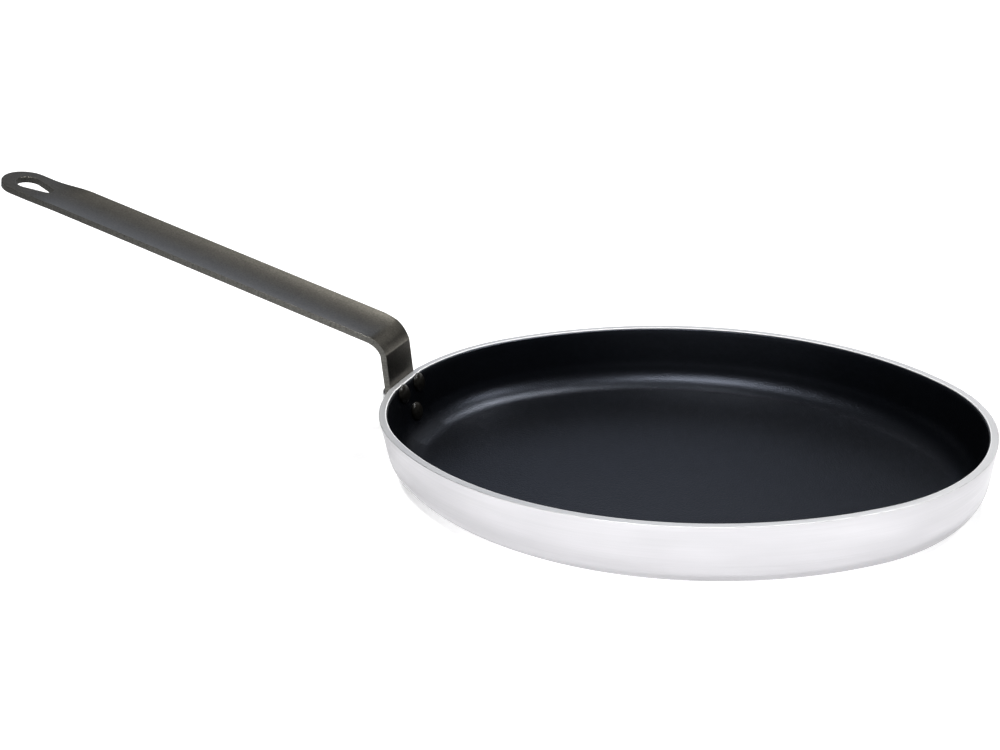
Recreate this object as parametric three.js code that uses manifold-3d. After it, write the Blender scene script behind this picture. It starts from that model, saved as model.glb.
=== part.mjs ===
// Oval fish pan: a pressed aluminium shell, a non-stick lining and a riveted steel strip handle.
// Millimetres, +Z up. The origin is the centre of the base underside and the handle points to -X.
import * as THREE from "three";
import Module from "manifold-3d";

// Pan outline in plan, over the outside of the rim: an oval of two end arcs and two side arcs.
const panLength = 360;
const panWidth = 278;
const endArcRadius = 113;
const seatFlatWidth = 32; // the -X end is pressed flat over this width, for the handle foot
const seatBlend = 3.5; // width on each side over which the flat runs back into the oval
const seatInset = 1.35; // how far the flat lies inside the end of the oval

// Pan profile, from the flat base to the rim.
const panHeight = 41.5;
const wallDraft = 8.5; // degrees from upright
const cornerRadius = 22; // outside radius between base and wall
const sheetThickness = 4.4;
const rimChamfer = 0.4;

// Non-stick lining, thicker here than the real film so that it is a solid of its own.
const liningThickness = 0.4;
const bareRimHeight = 0.5; // bare metal between the rim and the top of the lining
const liningGap = 0.05; // between the lining and the shell

// Handle: one bent strip. Bar lengths run from the corner where bar and upright would meet.
const stripThickness = 4.2;
const footWidth = 31.4;
const gripWidth = 36.7;
const endWidth = 33;
const gripDish = 1.65; // how far the long edges of the grip stand above its middle
const barSlope = 16.95; // degrees above level
const barLength = 302;
const uprightRise = 29.35; // rim to that corner, on the top face
const uprightLean = 2.4; // degrees by which the upright leans out, away from the pan
const bendRadius = 12; // on the underside
const creaseTurn = 18; // degrees from upright that a sharp crease under the bend turns the strip to
const creaseRadius = 0.6; // of that crease, on the underside
const rimBendRadius = 10; // where the foot leaves the sloping wall and turns up
const gripBlend = 9; // bar length after the bend over which the grip reaches its full section
const endBlend = 30; // length over which the grip flattens towards the end
const endFlat = 27; // flat length at the end, before the tip
const footBelowRivet = 8; // strip left under the lower rivet
const footCornerRadius = 9;
const stripChamfer = 0.4;
const seatGap = 0.05; // between the strip and the wall

// Teardrop hanging eye through the flat end.
const eyeRadius = 8.4;
const eyeNeckRadius = 3.9;
const eyeInset = 18.2; // tip to the centre of the round end of the eye
const eyeLength = 15.2; // between the centres of the two ends of the eye

// Rivets: two under the rim and one lower down, square to the sloping wall.
const rivetSpread = 20; // between the two upper rivets
const upperRivetDrop = 6.3; // rim to the upper rivets
const lowerRivetDrop = 21.9; // rim to the lower rivet
const shankRadius = 3;
const shankClearance = 0.3;
const headRadius = 6.1;
const headDome = 2.8;
const outerHeadRadius = 6.2;
const outerHeadDome = 5.2;
const headGap = 0.05; // between a head and what it bears on

// Facet counts.
const endArcSteps = 24;
const sideArcSteps = 24;
const seatSteps = 4;
const cornerSteps = 8;
const acrossSteps = 8;
const rivetSteps = 24;

const wasm = await Module();
wasm.setup();

const draft = THREE.MathUtils.degToRad(wallDraft);
const slope = THREE.MathUtils.degToRad(barSlope);
const lean = THREE.MathUtils.degToRad(uprightLean);
const crease = THREE.MathUtils.degToRad(creaseTurn);
const quarter = Math.PI / 2;

// The oval: the side arcs are the circles that run on smoothly from the end arcs.
const halfLength = panLength / 2;
const halfWidth = panWidth / 2;
const endCentre = halfLength - endArcRadius;
const sideArcRadius =
  (endCentre ** 2 + halfWidth ** 2 - endArcRadius ** 2) / (2 * (halfWidth - endArcRadius));
const sideCentre = sideArcRadius - halfWidth;
const joinAngle = Math.atan2(sideCentre, endCentre);
const seatX = -(halfLength - seatInset);
const flatHalf = seatFlatWidth / 2;
const flatAngle = Math.asin(flatHalf / endArcRadius);
const blendAngle = Math.asin((flatHalf + seatBlend) / endArcRadius);

// Directions in which the oval faces, counter-clockwise from one end of the seat flat to the other.
function facingAngles() {
  const angles = [];
  const add = (from, to, steps) => {
    for (let i = 0; i < steps; i++) angles.push(from + ((to - from) * i) / steps);
  };
  add(-Math.PI + flatAngle, -Math.PI + blendAngle, seatSteps);
  add(-Math.PI + blendAngle, -Math.PI + joinAngle, endArcSteps / 2);
  add(-Math.PI + joinAngle, -joinAngle, sideArcSteps);
  add(-joinAngle, joinAngle, endArcSteps);
  add(joinAngle, Math.PI - joinAngle, sideArcSteps);
  add(Math.PI - joinAngle, Math.PI - blendAngle, endArcSteps / 2);
  add(Math.PI - blendAngle, Math.PI - flatAngle, seatSteps);
  angles.push(Math.PI - flatAngle);
  return angles;
}

// A point of the oval drawn in by an inset, facing the given way, at height z. Close to the -X end the
// oval is pulled over to the seat flat.
function ovalPoint(angle, inset, z) {
  const c = Math.cos(angle);
  const s = Math.sin(angle);
  const onEnd = Math.abs(s) < Math.sin(joinAngle) + 1e-9;
  const radius = (onEnd ? endArcRadius : sideArcRadius) - inset;
  const x = onEnd ? Math.sign(c) * endCentre : 0;
  const y = onEnd ? 0 : -Math.sign(s) * sideCentre;
  const point = new THREE.Vector3(x + radius * c, y + radius * s, z);
  const fromSeat = Math.PI - Math.abs(angle);
  const pull = 1 - THREE.MathUtils.smoothstep(fromSeat, flatAngle, blendAngle);
  point.x += (seatX + inset - point.x) * pull;
  return point;
}

// Section of the shell surface that lies a depth inside the outer surface, from floor to top height.
function shellSection(depth, top) {
  const arcRadius = cornerRadius - depth;
  const arcInset = (panHeight - cornerRadius) * Math.tan(draft) + cornerRadius / Math.cos(draft);
  const section = [];
  for (let i = 0; i <= cornerSteps; i++) {
    const turn = quarter + ((draft - quarter) * i) / cornerSteps;
    section.push({
      inset: arcInset - arcRadius * Math.cos(turn),
      z: cornerRadius - arcRadius * Math.sin(turn),
    });
  }
  section.push({ inset: wallInset(depth, top), z: top });
  return section;
}

function wallInset(depth, z) {
  return (panHeight - z) * Math.tan(draft) + depth / Math.cos(draft);
}

// Rows of points joined into one closed surface; each row is a closed loop, and both ends are capped
// by a point in the middle of the end row.
function loft(rows) {
  const points = rows.flat();
  const count = rows[0].length;
  const middle = (row) =>
    row.reduce((sum, p) => sum.add(p), new THREE.Vector3()).divideScalar(count);
  const first = points.push(middle(rows[0])) - 1;
  const last = points.push(middle(rows[rows.length - 1])) - 1;
  const faces = [];
  for (let j = 0; j < count; j++) {
    const k = (j + 1) % count;
    faces.push(first, k, j);
    for (let i = 0; i + 1 < rows.length; i++) {
      const a = i * count;
      const b = a + count;
      faces.push(a + j, a + k, b + k);
      faces.push(a + j, b + k, b + j);
    }
    const end = (rows.length - 1) * count;
    faces.push(last, end + j, end + k);
  }
  const geometry = new THREE.BufferGeometry().setFromPoints(points);
  return geometry.setIndex(faces);
}

// A bowl: the section swept round the oval.
function sweepRound(section) {
  const angles = facingAngles();
  return loft(section.map(({ inset, z }) => angles.map((angle) => ovalPoint(angle, inset, z))));
}

// A three.js geometry as a solid that can be cut, and back.
function solidOf(geometry, matrix = new THREE.Matrix4()) {
  const corner = new THREE.Vector3();
  const position = geometry.getAttribute("position");
  const index = geometry.index ? geometry.index.array : [...Array(position.count).keys()];
  const numbers = new Map();
  const coordinates = [];
  const numberOf = (i) => {
    corner.fromBufferAttribute(position, i).applyMatrix4(matrix);
    const key = corner.toArray().map((v) => Math.round(v * 1e4)).join();
    if (!numbers.has(key)) {
      numbers.set(key, numbers.size);
      coordinates.push(corner.x, corner.y, corner.z);
    }
    return numbers.get(key);
  };
  const faces = [];
  for (let i = 0; i < index.length; i += 3) {
    const face = [numberOf(index[i]), numberOf(index[i + 1]), numberOf(index[i + 2])];
    if (new Set(face).size === 3) faces.push(...face);
  }
  return new wasm.Manifold(
    new wasm.Mesh({
      numProp: 3,
      vertProperties: new Float32Array(coordinates),
      triVerts: new Uint32Array(faces),
    }),
  );
}

function geometryOf(solid) {
  const mesh = solid.getMesh();
  return new THREE.BufferGeometry()
    .setAttribute("position", new THREE.BufferAttribute(new Float32Array(mesh.vertProperties), 3))
    .setIndex(new THREE.BufferAttribute(new Uint32Array(mesh.triVerts), 1));
}

// The seat: the plane of the pressed flat, which leans out as the wall does.
const seatIn = new THREE.Vector3(Math.cos(draft), 0, Math.sin(draft));
const liningDepth = sheetThickness + liningGap + liningThickness;

function seatPoint(y, z) {
  return new THREE.Vector3(seatX + (panHeight - z) * Math.tan(draft), y, z);
}

// A matrix that puts a part's own +Y axis on the rivet line through the seat at y, z, pointing in.
function rivetMatrix(y, z) {
  const turn = new THREE.Quaternion().setFromUnitVectors(new THREE.Vector3(0, 1, 0), seatIn);
  return new THREE.Matrix4().compose(seatPoint(y, z), turn, new THREE.Vector3(1, 1, 1));
}

const upperRivetZ = panHeight - upperRivetDrop;
const lowerRivetZ = panHeight - lowerRivetDrop;
const rivetPlaces = {
  rivet_upper_left: rivetMatrix(rivetSpread / 2, upperRivetZ),
  rivet_upper_right: rivetMatrix(-rivetSpread / 2, upperRivetZ),
  rivet_lower: rivetMatrix(0, lowerRivetZ),
};

function rivetHoles() {
  const reach = 4 * (liningDepth + stripThickness);
  const radius = shankRadius + shankClearance;
  const hole = new THREE.CylinderGeometry(radius, radius, reach, rivetSteps);
  return wasm.Manifold.union(Object.values(rivetPlaces).map((matrix) => solidOf(hole, matrix)));
}

function panBody() {
  const outer = shellSection(0, panHeight - rimChamfer);
  const inner = shellSection(sheetThickness, panHeight - rimChamfer);
  const section = [
    ...outer,
    { inset: rimChamfer, z: panHeight },
    { inset: wallInset(sheetThickness, panHeight) - rimChamfer, z: panHeight },
    ...inner.reverse(),
  ];
  return solidOf(sweepRound(section)).subtract(rivetHoles());
}

function nonstickLining() {
  const under = shellSection(sheetThickness + liningGap, panHeight - bareRimHeight);
  const over = shellSection(liningDepth, panHeight - bareRimHeight);
  return solidOf(sweepRound([...under, ...over.reverse()])).subtract(rivetHoles());
}

// The strip's path: places on its top and inner face, each with the angle it has turned from upright.
const along = (turn) => new THREE.Vector3(-Math.sin(turn), 0, Math.cos(turn));
const outOf = (turn) => new THREE.Vector3(Math.cos(turn), 0, Math.sin(turn));

// Places on an arc that starts at a point; a positive bend turns away from the face.
function bendPlaces(start, from, to, radius, steps) {
  const side = to > from ? -radius : radius;
  const centre = start.clone().addScaledVector(outOf(from), side);
  const places = [];
  for (let i = 0; i <= steps; i++) {
    const turn = from + ((to - from) * i) / steps;
    places.push({ point: centre.clone().addScaledVector(outOf(turn), -side), turn });
  }
  return places;
}

// A smooth step from 0 to 1.
const ease = (t) => THREE.MathUtils.smoothstep(t, 0, 1);

// One closed section of the strip: dished across its width, with chamfered long edges.
function stripSection({ point, turn, half, dish }) {
  const up = outOf(turn);
  const place = (y, h) => {
    const at = point.clone().addScaledVector(up, h);
    return new THREE.Vector3(at.x, y, at.z);
  };
  const face = (y) => dish * (y / half) ** 2;
  const inner = half - stripChamfer;
  const top = [];
  const under = [];
  for (let i = 0; i <= acrossSteps; i++) {
    const y = (2 * inner * i) / acrossSteps - inner;
    top.push(place(y, face(y)));
    under.unshift(place(y, face(y) - stripThickness));
  }
  const edge = (y) => [
    place(y, dish - stripChamfer),
    place(y, dish - stripThickness + stripChamfer),
  ];
  return [...top, ...edge(half), ...under, ...edge(-half).reverse()];
}

const barTurn = quarter - slope;
const bendFaceRadius = bendRadius + stripThickness;
const creaseFaceRadius = creaseRadius + stripThickness;

// Crease and bend lead from the line of the upright to the line of the bar. The cuts are the lengths that
// they take off these two lines, from the corner where the lines meet.
const arcStep = (radius, from, to) => outOf(to).sub(outOf(from)).multiplyScalar(radius);
const turnStep = arcStep(creaseFaceRadius, lean, crease).add(arcStep(bendFaceRadius, crease, barTurn));
const cross = (a, b) => a.x * b.z - a.z * b.x;
const uprightCut = cross(turnStep, along(barTurn)) / Math.sin(barTurn - lean);
const barCut = cross(along(lean), turnStep) / Math.sin(barTurn - lean);

const rimPlace = seatPoint(0, panHeight).addScaledVector(seatIn, -seatGap);
const footLength = (panHeight - lowerRivetZ) / Math.cos(draft) + footBelowRivet;
const rimBend = bendPlaces(rimPlace, draft, lean, rimBendRadius, 3);
const rimBendTop = rimBend[rimBend.length - 1].point;
const uprightLength = (panHeight + uprightRise - rimBendTop.z) / Math.cos(lean);
const barCorner = rimBendTop.clone().addScaledVector(along(lean), uprightLength);
const creaseStart = barCorner.clone().addScaledVector(along(lean), -uprightCut);

function barPoint(s) {
  return barCorner.clone().addScaledVector(along(barTurn), s);
}

// All sections of the strip, from the foot up the wall and out along the bar to the tip.
function stripPlaces() {
  const places = [];
  const footHalf = footWidth / 2;
  const gripHalf = gripWidth / 2;
  const endHalf = endWidth / 2;
  for (const share of [0, 0.04, 0.15, 0.32, 0.6, 1]) {
    const up = share * footCornerRadius;
    const bite = footCornerRadius - Math.sqrt(footCornerRadius ** 2 - (footCornerRadius - up) ** 2);
    const point = rimPlace.clone().addScaledVector(along(draft), up - footLength);
    places.push({ point, turn: draft, half: footHalf - bite, dish: 0 });
  }
  const creaseBend = bendPlaces(creaseStart, lean, crease, creaseFaceRadius, 3);
  for (const { point, turn } of [...rimBend, ...creaseBend]) {
    places.push({ point, turn, half: footHalf, dish: 0 });
  }

  const bendLength = bendFaceRadius * (barTurn - crease);
  const blendLength = bendLength + gripBlend;
  const grow = (done) => ({
    half: footHalf + (gripHalf - footHalf) * ease(done / blendLength),
    dish: gripDish * ease(done / blendLength),
  });
  const bendStart = creaseBend[creaseBend.length - 1].point;
  const bend = bendPlaces(bendStart, crease, barTurn, bendFaceRadius, 9);
  for (const { point, turn } of bend.slice(1)) {
    places.push({ point, turn, ...grow(bendFaceRadius * (turn - crease)) });
  }
  for (const share of [0.35, 0.7, 1]) {
    const point = barPoint(barCut + share * gripBlend);
    places.push({ point, turn: barTurn, ...grow(bendLength + share * gripBlend) });
  }

  const flatFrom = barLength - endFlat;
  for (let i = 0; i <= 8; i++) {
    const share = i / 8;
    places.push({
      point: barPoint(flatFrom - endBlend * (1 - share)),
      turn: barTurn,
      half: gripHalf + (endHalf - gripHalf) * ease(share),
      dish: gripDish * (1 - ease(share)),
    });
  }
  for (const degrees of [0, 12, 24, 35, 45, 54, 62, 69, 75, 80, 84]) {
    const round = THREE.MathUtils.degToRad(degrees);
    places.push({
      point: barPoint(barLength - endHalf * (1 - Math.sin(round))),
      turn: barTurn,
      half: endHalf * Math.cos(round),
      dish: 0,
    });
  }
  return places;
}

// The teardrop eye as a cutter that runs through the flat end.
function eyeCutter() {
  const taper = Math.acos((eyeRadius - eyeNeckRadius) / eyeLength);
  const outline = new THREE.Shape();
  outline.absarc(0, 0, eyeRadius, Math.PI - taper, taper - Math.PI, true);
  outline.absarc(-eyeLength, 0, eyeNeckRadius, taper - Math.PI, Math.PI - taper, true);
  outline.closePath();
  const depth = 4 * stripThickness;
  const cutter = new THREE.ExtrudeGeometry(outline, { depth, bevelEnabled: false, curveSegments: 20 });
  const centre = barPoint(barLength - eyeInset).addScaledVector(outOf(barTurn), -depth / 2);
  const across = new THREE.Vector3(0, -1, 0);
  const matrix = new THREE.Matrix4().makeBasis(along(barTurn), across, outOf(barTurn));
  return solidOf(cutter, matrix.setPosition(centre));
}

function handle() {
  return solidOf(loft(stripPlaces().map(stripSection)))
    .subtract(eyeCutter())
    .subtract(rivetHoles());
}

// The space inside the lining, drawn in by a gap, as a solid.
function wellInside(gap) {
  return solidOf(sweepRound(shellSection(liningDepth + gap, panHeight)));
}

// Half the profile of a domed head, from its tip to the end of a straight skirt under the dome.
function headProfile(radius, dome, skirt) {
  const steps = 6;
  const sphere = (radius ** 2 + dome ** 2) / (2 * dome);
  const reach = Math.asin(radius / sphere);
  const points = [];
  for (let i = 0; i <= steps; i++) {
    const angle = (reach * i) / steps;
    points.push(new THREE.Vector2(sphere * Math.sin(angle), sphere * Math.cos(angle) - sphere + dome));
  }
  points.push(new THREE.Vector2(radius, -skirt));
  points.push(new THREE.Vector2(0, -skirt));
  return points;
}

// A rivet on its own +Y axis: a shank, a domed head on the strip and a domed head inside the pan. The
// inner head bears on the wall, so its underside has the shape of the wall.
function rivet(matrix) {
  const innerBase = liningDepth + headGap;
  const outerBase = -(stripThickness + seatGap + headGap);
  const turned = (profile) => solidOf(new THREE.LatheGeometry(profile, rivetSteps), matrix);
  const innerHead = headProfile(headRadius, headDome, innerBase)
    .map((p) => new THREE.Vector2(p.x, innerBase + p.y))
    .reverse();
  const outerHead = headProfile(outerHeadRadius, outerHeadDome, 0)
    .map((p) => new THREE.Vector2(p.x, outerBase - p.y));
  const from = outerBase - outerHeadDome / 2;
  const to = innerBase + headDome / 2;
  const shank = new THREE.CylinderGeometry(shankRadius, shankRadius, to - from, rivetSteps);
  shank.translate(0, (from + to) / 2, 0);
  return turned(innerHead)
    .intersect(wellInside(headGap))
    .add(solidOf(shank, matrix))
    .add(turned(outerHead));
}

function piece(name, solid, color, metalness, roughness) {
  const material = new THREE.MeshStandardMaterial({ color, metalness, roughness });
  const mesh = new THREE.Mesh(geometryOf(solid), material);
  mesh.name = name;
  return mesh;
}

const fishPan = new THREE.Group();
fishPan.name = "fish_pan";
fishPan.add(piece("pan_body", panBody(), 0xd0d0d2, 1, 0.35));
fishPan.add(piece("nonstick_lining", nonstickLining(), 0x1c1d21, 0, 0.45));
fishPan.add(piece("handle", handle(), 0x5c5954, 0.3, 0.5));
for (const [name, matrix] of Object.entries(rivetPlaces)) {
  fishPan.add(piece(name, rivet(matrix), 0x9a9a9c, 0.8, 0.4));
}

export default fishPan;
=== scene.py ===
"""Oval fish pan: a pressed aluminium shell, a non-stick lining and a riveted steel strip handle.

Metres, +Z up, in the frame of the solids. The origin is under the middle of the base, and the handle
points to -X. The file is laid out as an add-on and is run as a script.
"""

from functools import partial
from math import acos, asin, atan2, cos, hypot, pi, radians, sin, tan

import bmesh
import bpy
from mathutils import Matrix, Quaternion, Vector


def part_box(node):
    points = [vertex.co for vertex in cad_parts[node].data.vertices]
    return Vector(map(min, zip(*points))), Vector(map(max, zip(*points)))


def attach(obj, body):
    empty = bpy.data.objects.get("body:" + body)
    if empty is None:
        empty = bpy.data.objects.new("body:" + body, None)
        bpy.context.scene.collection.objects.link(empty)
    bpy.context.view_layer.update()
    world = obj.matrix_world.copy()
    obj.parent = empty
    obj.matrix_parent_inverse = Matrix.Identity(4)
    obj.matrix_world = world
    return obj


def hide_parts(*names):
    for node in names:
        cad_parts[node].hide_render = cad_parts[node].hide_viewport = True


bl_info = {
    "name": "Oval Fish Pan",
    "version": (1, 0, 0),
    "blender": (4, 5, 0),
    "location": "View3D > Sidebar > Fish Pan",
    "description": "Builds an oval non-stick fish pan with a riveted handle, and a studio for it",
    "category": "Add Mesh",
}

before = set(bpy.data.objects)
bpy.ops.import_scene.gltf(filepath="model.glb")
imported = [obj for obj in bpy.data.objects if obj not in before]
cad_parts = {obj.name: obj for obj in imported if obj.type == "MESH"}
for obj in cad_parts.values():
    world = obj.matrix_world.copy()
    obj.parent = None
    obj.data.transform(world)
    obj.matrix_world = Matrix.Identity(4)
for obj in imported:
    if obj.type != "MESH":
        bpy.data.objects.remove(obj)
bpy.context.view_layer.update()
PAN_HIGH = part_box("pan_body")[1]

MM = 0.001

# Steps of the bowls: points round the oval, then steps along the section.
STATIONS = 721
FLOOR_STEPS = 6
CORNER_STEPS = 18
WALL_STEPS = 8
EDGE_STEPS = 5

# Steps along the strip, in the order of its path, and across its width.
FOOT_STEPS = 6
RIM_BEND_STEPS = 3
UPRIGHT_STEPS = 4
CREASE_STEPS = 4
BEND_STEPS = 18
BAR_STEPS = 90
WIDTH_STEPS = 12

# Steps along the outlines of the flat blank and its eye, and over its rounded edges.
FOOT_CORNER_STEPS = 8
WIDEN_STEPS = 20
NARROW_STEPS = 16
TIP_STEPS = 24
EYE_STEPS = 40
NECK_STEPS = 20
BLANK_EDGE_STEPS = 2

# Steps of the rivets.
HEAD_SEGMENTS = 48
HEAD_RINGS = 28
SHANK_SIDES = 32

# Points closer than these are one point: in the flat blank, and in a swept bowl.
BLANK_MERGE = 1e-7
BOWL_MERGE = 0.005 * MM

# Faces of the blank that differ by less than this angle are one face.
BLANK_FLAT = radians(0.5)

# A face of the blank is part of its cut edge where its normal points up or down by less than this.
FLAT_FACE = 0.95

# Finishes of the shell's section, by number.
WALL, RIM, EDGE = range(3)

# Aluminium finishes: width and length of a streak, roughness and strength of the relief.
BELT_FINISH = (0.7 * MM, 60 * MM, 0.36, 0.12)
TURNED_FINISH = (0.5 * MM, 90 * MM, 0.48, 0.10)
CUT_FINISH = (0.5 * MM, 90 * MM, 0.75, 0.05)
RIVET_FINISH = (0.8 * MM, 3 * MM, 0.30, 0.05)

# Patches in the aluminium, longest round the pan: about 45 mm by 11 mm.
PATCH_LENGTH = 1 / 22
PATCH_WIDTH = 1 / 90

# Nearly all values of a noise pattern lie between these.
NOISE_LOW = 0.3
NOISE_HIGH = 0.7

# Soft lights: name, azimuth, elevation and spread in degrees, and share of the stage's strength.
SOFT_LIGHTS = (
    ("back_light", 176, 64, 12, 1.6),
    ("front_light", 328, 72, 10, 1.8),
    ("side_light", 100, 55, 10, 0.9),
)

# Levels of the surround by height, which is the sine of the angle above level.
SURROUND_LEVELS = ((0.0, 1.0), (0.12, 1.0), (0.28, 0.04), (0.5, 0.05), (0.8, 0.14), (1.0, 0.2))

# Shares that are left of those levels towards the front, and towards the two sides.
FRONT_SHARE = 0.8
SIDE_SHARE = 0.18

# Glows on the backdrop: azimuth, elevation and spread in degrees, and colour. Each has an even core.
BACKDROP_GLOWS = ((203, 23, 17, (0.22, 0.25, 0.32)), (160, 30, 20, (0.3, 0.3, 0.3)))
GLOW_CORE = 4

# The light table is brightest round a point in front of the pan, and dims between two distances.
TABLE_MIDDLE = (78 * MM, -290 * MM, 0)
TABLE_NEAR = 150 * MM
TABLE_FAR = 400 * MM
TABLE_BRIGHT = 1.25
TABLE_DIM = 0.4

# Width of the camera's sensor in millimetres, and the distances between which it sees.
SENSOR_WIDTH = 36
CLIP_START = 0.01
CLIP_END = 50


def linear(code):
    """An sRGB hex colour as linear red, green and blue."""
    shares = [int(code[i : i + 2], 16) / 255 for i in (1, 3, 5)]
    return tuple(c / 12.92 if c <= 0.04045 else ((c + 0.055) / 1.055) ** 2.4 for c in shares)


def distance(name, description, default):
    return bpy.props.FloatProperty(
        name=name, description=description, default=default,
        min=0, precision=5, unit="LENGTH", subtype="DISTANCE",
    )


def angle(name, description, degrees):
    return bpy.props.FloatProperty(
        name=name, description=description, default=radians(degrees),
        unit="ROTATION", subtype="ANGLE",
    )


def colour(name, description, code):
    return bpy.props.FloatVectorProperty(
        name=name, description=description, default=linear(code),
        min=0, max=1, size=3, subtype="COLOR",
    )


def number(name, description, default):
    return bpy.props.FloatProperty(name=name, description=description, default=default, min=0)


def settings_group(name, description, kind):
    return bpy.props.PointerProperty(name=name, description=description, type=kind)


class PanSettings(bpy.types.PropertyGroup):
    """Sizes and colours of the shell and its lining."""

    length: distance("Length", "Over the rim, end to end", 2 * PAN_HIGH.x)
    width: distance("Width", "Over the rim, side to side", 2 * PAN_HIGH.y)
    height: distance("Height", "From the base to the rim", PAN_HIGH.z)
    end_arc_radius: distance("End arc radius", "Radius of the rim at the two ends", 113 * MM)
    seat_flat: distance("Seat flat", "Width of the flat that is pressed for the handle foot", 32 * MM)
    seat_blend: distance("Seat blend", "Width on each side where the flat runs into the oval", 3.5 * MM)
    seat_inset: distance("Seat inset", "How far the flat lies inside the end of the oval", 1.35 * MM)
    draft: angle("Wall draft", "How far the wall leans out from upright", 8.5)
    corner_radius: distance("Corner radius", "Outside radius between base and wall", 22 * MM)
    sheet: distance("Sheet", "Thickness of the aluminium", 4.4 * MM)
    outer_edge: distance("Outer edge", "Radius of the rim's outer edge", 0.4 * MM)
    inner_edge: distance("Inner edge", "Radius of the rim's bright inner edge", 0.6 * MM)
    lining: distance("Lining", "Thickness of the lining", 0.4 * MM)
    lining_gap: distance("Lining gap", "Gap between the lining and the sheet", 0.05 * MM)
    bare_rim: distance("Bare rim", "Bare metal between the rim and the top of the lining", 0.5 * MM)
    feather: distance("Feather", "Height over which the lining thins out at its top", 1.0 * MM)
    metal: colour("Aluminium", "Colour of the belt-finished aluminium", "#B1B0B3")
    rim_metal: colour("Machined rim", "Colour of the machined rim and the bare rivet heads", "#D2D2D3")
    edge_metal: colour("Bright edge", "Colour of the bright line on the rim's inner edge", "#F8F8F8")
    coat: colour("Non-stick coat", "Colour of the lining", "#040508")


class HandleSettings(bpy.types.PropertyGroup):
    """Sizes and colours of the strip handle."""

    thickness: distance("Thickness", "Thickness of the strip", 4.2 * MM)
    foot_width: distance("Foot width", "Width of the strip on the wall", 31.4 * MM)
    grip_width: distance("Grip width", "Width of the grip", 36.7 * MM)
    end_width: distance("End width", "Width of the flat end", 33 * MM)
    dish: distance("Dish", "How far the long edges of the grip stand above its middle", 1.65 * MM)
    slope: angle("Slope", "Slope of the bar above level", 16.95)
    lean: angle("Lean", "How far the upright leans out, away from the pan", 2.4)
    bar: distance("Bar length", "From the corner of bar and upright to the tip", 302 * MM)
    rise: distance("Rise", "From the rim to the corner of bar and upright", 29.35 * MM)
    bend_radius: distance("Bend radius", "Radius of the bend on the underside", 12 * MM)
    crease: angle("Crease", "Angle from upright after the sharp crease under the bend", 18)
    crease_radius: distance("Crease radius", "Radius of that crease on the underside", 0.6 * MM)
    rim_bend_radius: distance("Rim bend radius", "Radius of the bend from wall to upright", 10 * MM)
    grip_blend: distance("Grip blend", "From the bend to the full section of the grip", 9 * MM)
    end_blend: distance("End blend", "Length over which the grip flattens", 30 * MM)
    end_flat: distance("End flat", "Flat length at the end", 27 * MM)
    foot_below: distance("Foot below rivet", "Strip left under the lower rivet", 8 * MM)
    foot_corner: distance("Foot corner", "Radius of the corners of the foot", 9 * MM)
    edge_round: distance("Edge", "Radius of the strip's edges", 0.35 * MM)
    seat_gap: distance("Seat gap", "Gap between strip and wall", 0.05 * MM)
    eye_radius: distance("Eye radius", "Radius of the round end of the eye", 8.4 * MM)
    eye_neck: distance("Eye neck radius", "Radius of the narrow end of the eye", 3.9 * MM)
    eye_inset: distance("Eye inset", "From the tip to the centre of the eye's round end", 18.2 * MM)
    eye_length: distance("Eye length", "Between the centres of the eye's two ends", 15.2 * MM)
    coat: colour("Coat", "Colour of the dark steel", "#605D56")
    edge: colour("Cut edge", "Colour of the sheared edge", "#605F5B")


class RivetSettings(bpy.types.PropertyGroup):
    """Sizes and colours of the three rivets."""

    spread: distance("Spread", "Between the two upper rivets", 20 * MM)
    upper_drop: distance("Upper drop", "From the rim to the upper rivets", 6.3 * MM)
    lower_drop: distance("Lower drop", "From the rim to the lower rivet", 21.9 * MM)
    shank_radius: distance("Shank radius", "Radius of the shanks", 3 * MM)
    head_radius: distance("Head radius", "Radius of the heads inside the pan", 6.1 * MM)
    head_dome: distance("Head height", "Height of the heads inside the pan", 2.8 * MM)
    outer_radius: distance("Outer head radius", "Radius of the heads on the strip", 6.2 * MM)
    outer_dome: distance("Outer head height", "Height of the heads on the strip", 5.2 * MM)
    skirt: distance("Skirt", "Straight side under a dome", 0.25 * MM)
    coat: colour("Head coat", "Colour of the coated heads inside the pan", "#15130F")


class StageSettings(bpy.types.PropertyGroup):
    """The floor, the lights and the camera."""

    floor_size: distance("Floor size", "Side of the floor", 12)
    floor: colour("Floor", "Colour of the floor", "#F6F6F6")
    azimuth: angle("Camera azimuth", "Camera direction round the pan, from -Y towards +X", 25.671)
    elevation: angle("Camera elevation", "Camera direction above level", 22.155)
    roll: angle("Camera roll", "Turn of the camera about its own axis", -3.763)
    reach: distance("Camera distance", "From the camera to the point it looks at", 1001.036 * MM)
    target: bpy.props.FloatVectorProperty(
        name="Camera target",
        description="The point that the camera looks at",
        default=(-143.876 * MM, 69.348 * MM, 20.456 * MM),
        size=3,
        unit="LENGTH",
        subtype="TRANSLATION",
    )
    lens: number("Lens", "Focal length in millimetres on a 36 mm sensor", 54.455)
    sky: number("Surround", "Strength of the pale surround", 1.6)
    light: number("Soft lights", "Strength of the soft lights", 1.0)
    table: number("Light table", "Strength of the light that comes up through the floor", 0.84)


class FishPanSettings(bpy.types.PropertyGroup):
    """All settings of the pan and its studio."""

    pan: settings_group("Pan", "Shell and lining", PanSettings)
    handle: settings_group("Handle", "Strip handle", HandleSettings)
    rivets: settings_group("Rivets", "Three rivets", RivetSettings)
    stage: settings_group("Stage", "Floor, lights and camera", StageSettings)


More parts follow.
